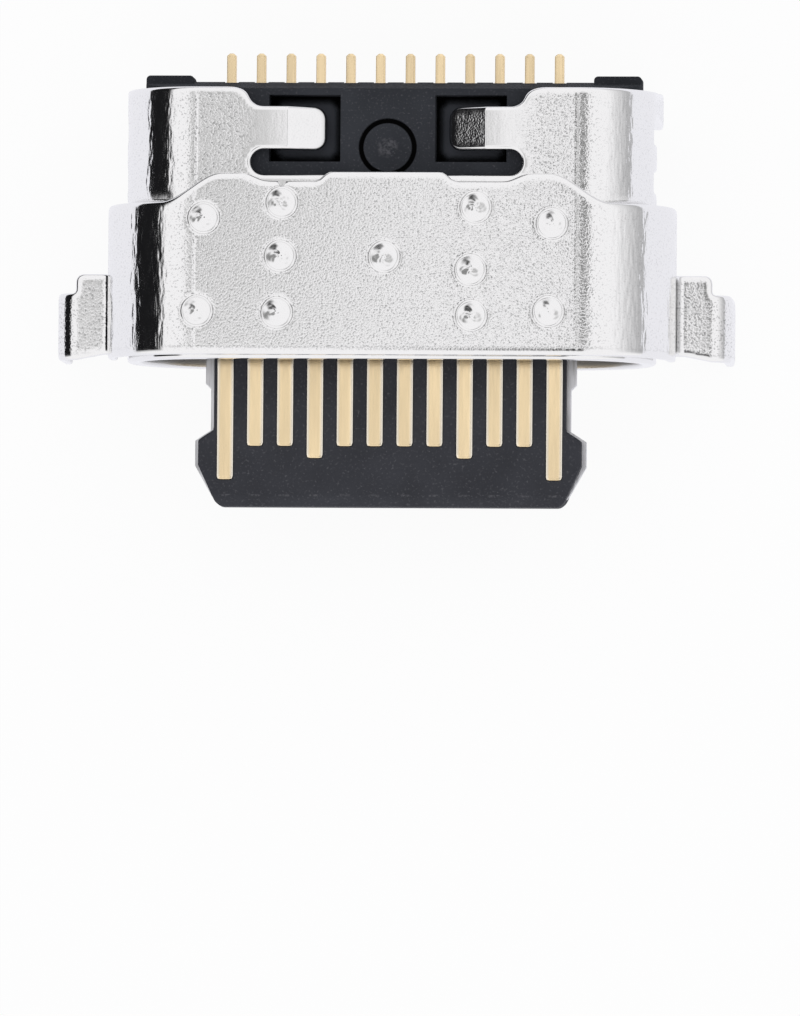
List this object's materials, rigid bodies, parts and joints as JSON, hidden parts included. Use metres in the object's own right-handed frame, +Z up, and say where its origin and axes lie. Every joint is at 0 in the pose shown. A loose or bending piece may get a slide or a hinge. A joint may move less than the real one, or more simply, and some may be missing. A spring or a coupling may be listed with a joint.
{
  "type": "charging port",
  "caption": "Mid-mount charging port: a short steel tube with a welded cover, a black base with a flat tongue of gilt contacts, rows of solder tails and bent legs for the board.",
  "frame": {"origin": "on the board plane, on the centre line, on the plain strip of the base's underside between the inner row and the rear row of solder tails", "axes": "+X across the mouth, -Y out of the mouth towards the plug, +Y towards the rear solder tails, +Z up from the board"},
  "size_m": [0.0114, 0.0076, 0.0034],
  "materials": {
    "shell_steel": "frosted, tin or nickel plated",
    "cover_steel": "frosted, tin or nickel plated, with weld spots",
    "plate_steel": "plain rolled sheet",
    "base_plastic": "satin, glass filled",
    "tongue_plastic": "satin, glass filled",
    "contact_gilt": "gold plated copper alloy"
  },
  "bodies": {
    "root": {"inner_shell": "shell_steel", "outer_cover": "cover_steel", "housing": "base_plastic", "upper_wafer": "tongue_plastic", "lower_wafer": "tongue_plastic", "mid_plate": "plate_steel", "upper_shield": "plate_steel", "lower_shield": "plate_steel", "upper_contact_1": "contact_gilt", "upper_contact_2": "contact_gilt", "upper_contact_3": "contact_gilt", "upper_contact_4": "contact_gilt", "upper_contact_5": "contact_gilt", "upper_contact_6": "contact_gilt", "upper_contact_7": "contact_gilt", "upper_contact_8": "contact_gilt", "upper_contact_9": "contact_gilt", "upper_contact_10": "contact_gilt", "upper_contact_11": "contact_gilt", "upper_contact_12": "contact_gilt", "lower_contact_1": "contact_gilt", "lower_contact_2": "contact_gilt", "lower_contact_3": "contact_gilt", "lower_contact_4": "contact_gilt", "lower_contact_5": "contact_gilt", "lower_contact_6": "contact_gilt", "lower_contact_7": "contact_gilt", "lower_contact_8": "contact_gilt", "lower_contact_9": "contact_gilt", "lower_contact_10": "contact_gilt", "lower_contact_11": "contact_gilt", "lower_contact_12": "contact_gilt"}
  },
  "joints": []
}
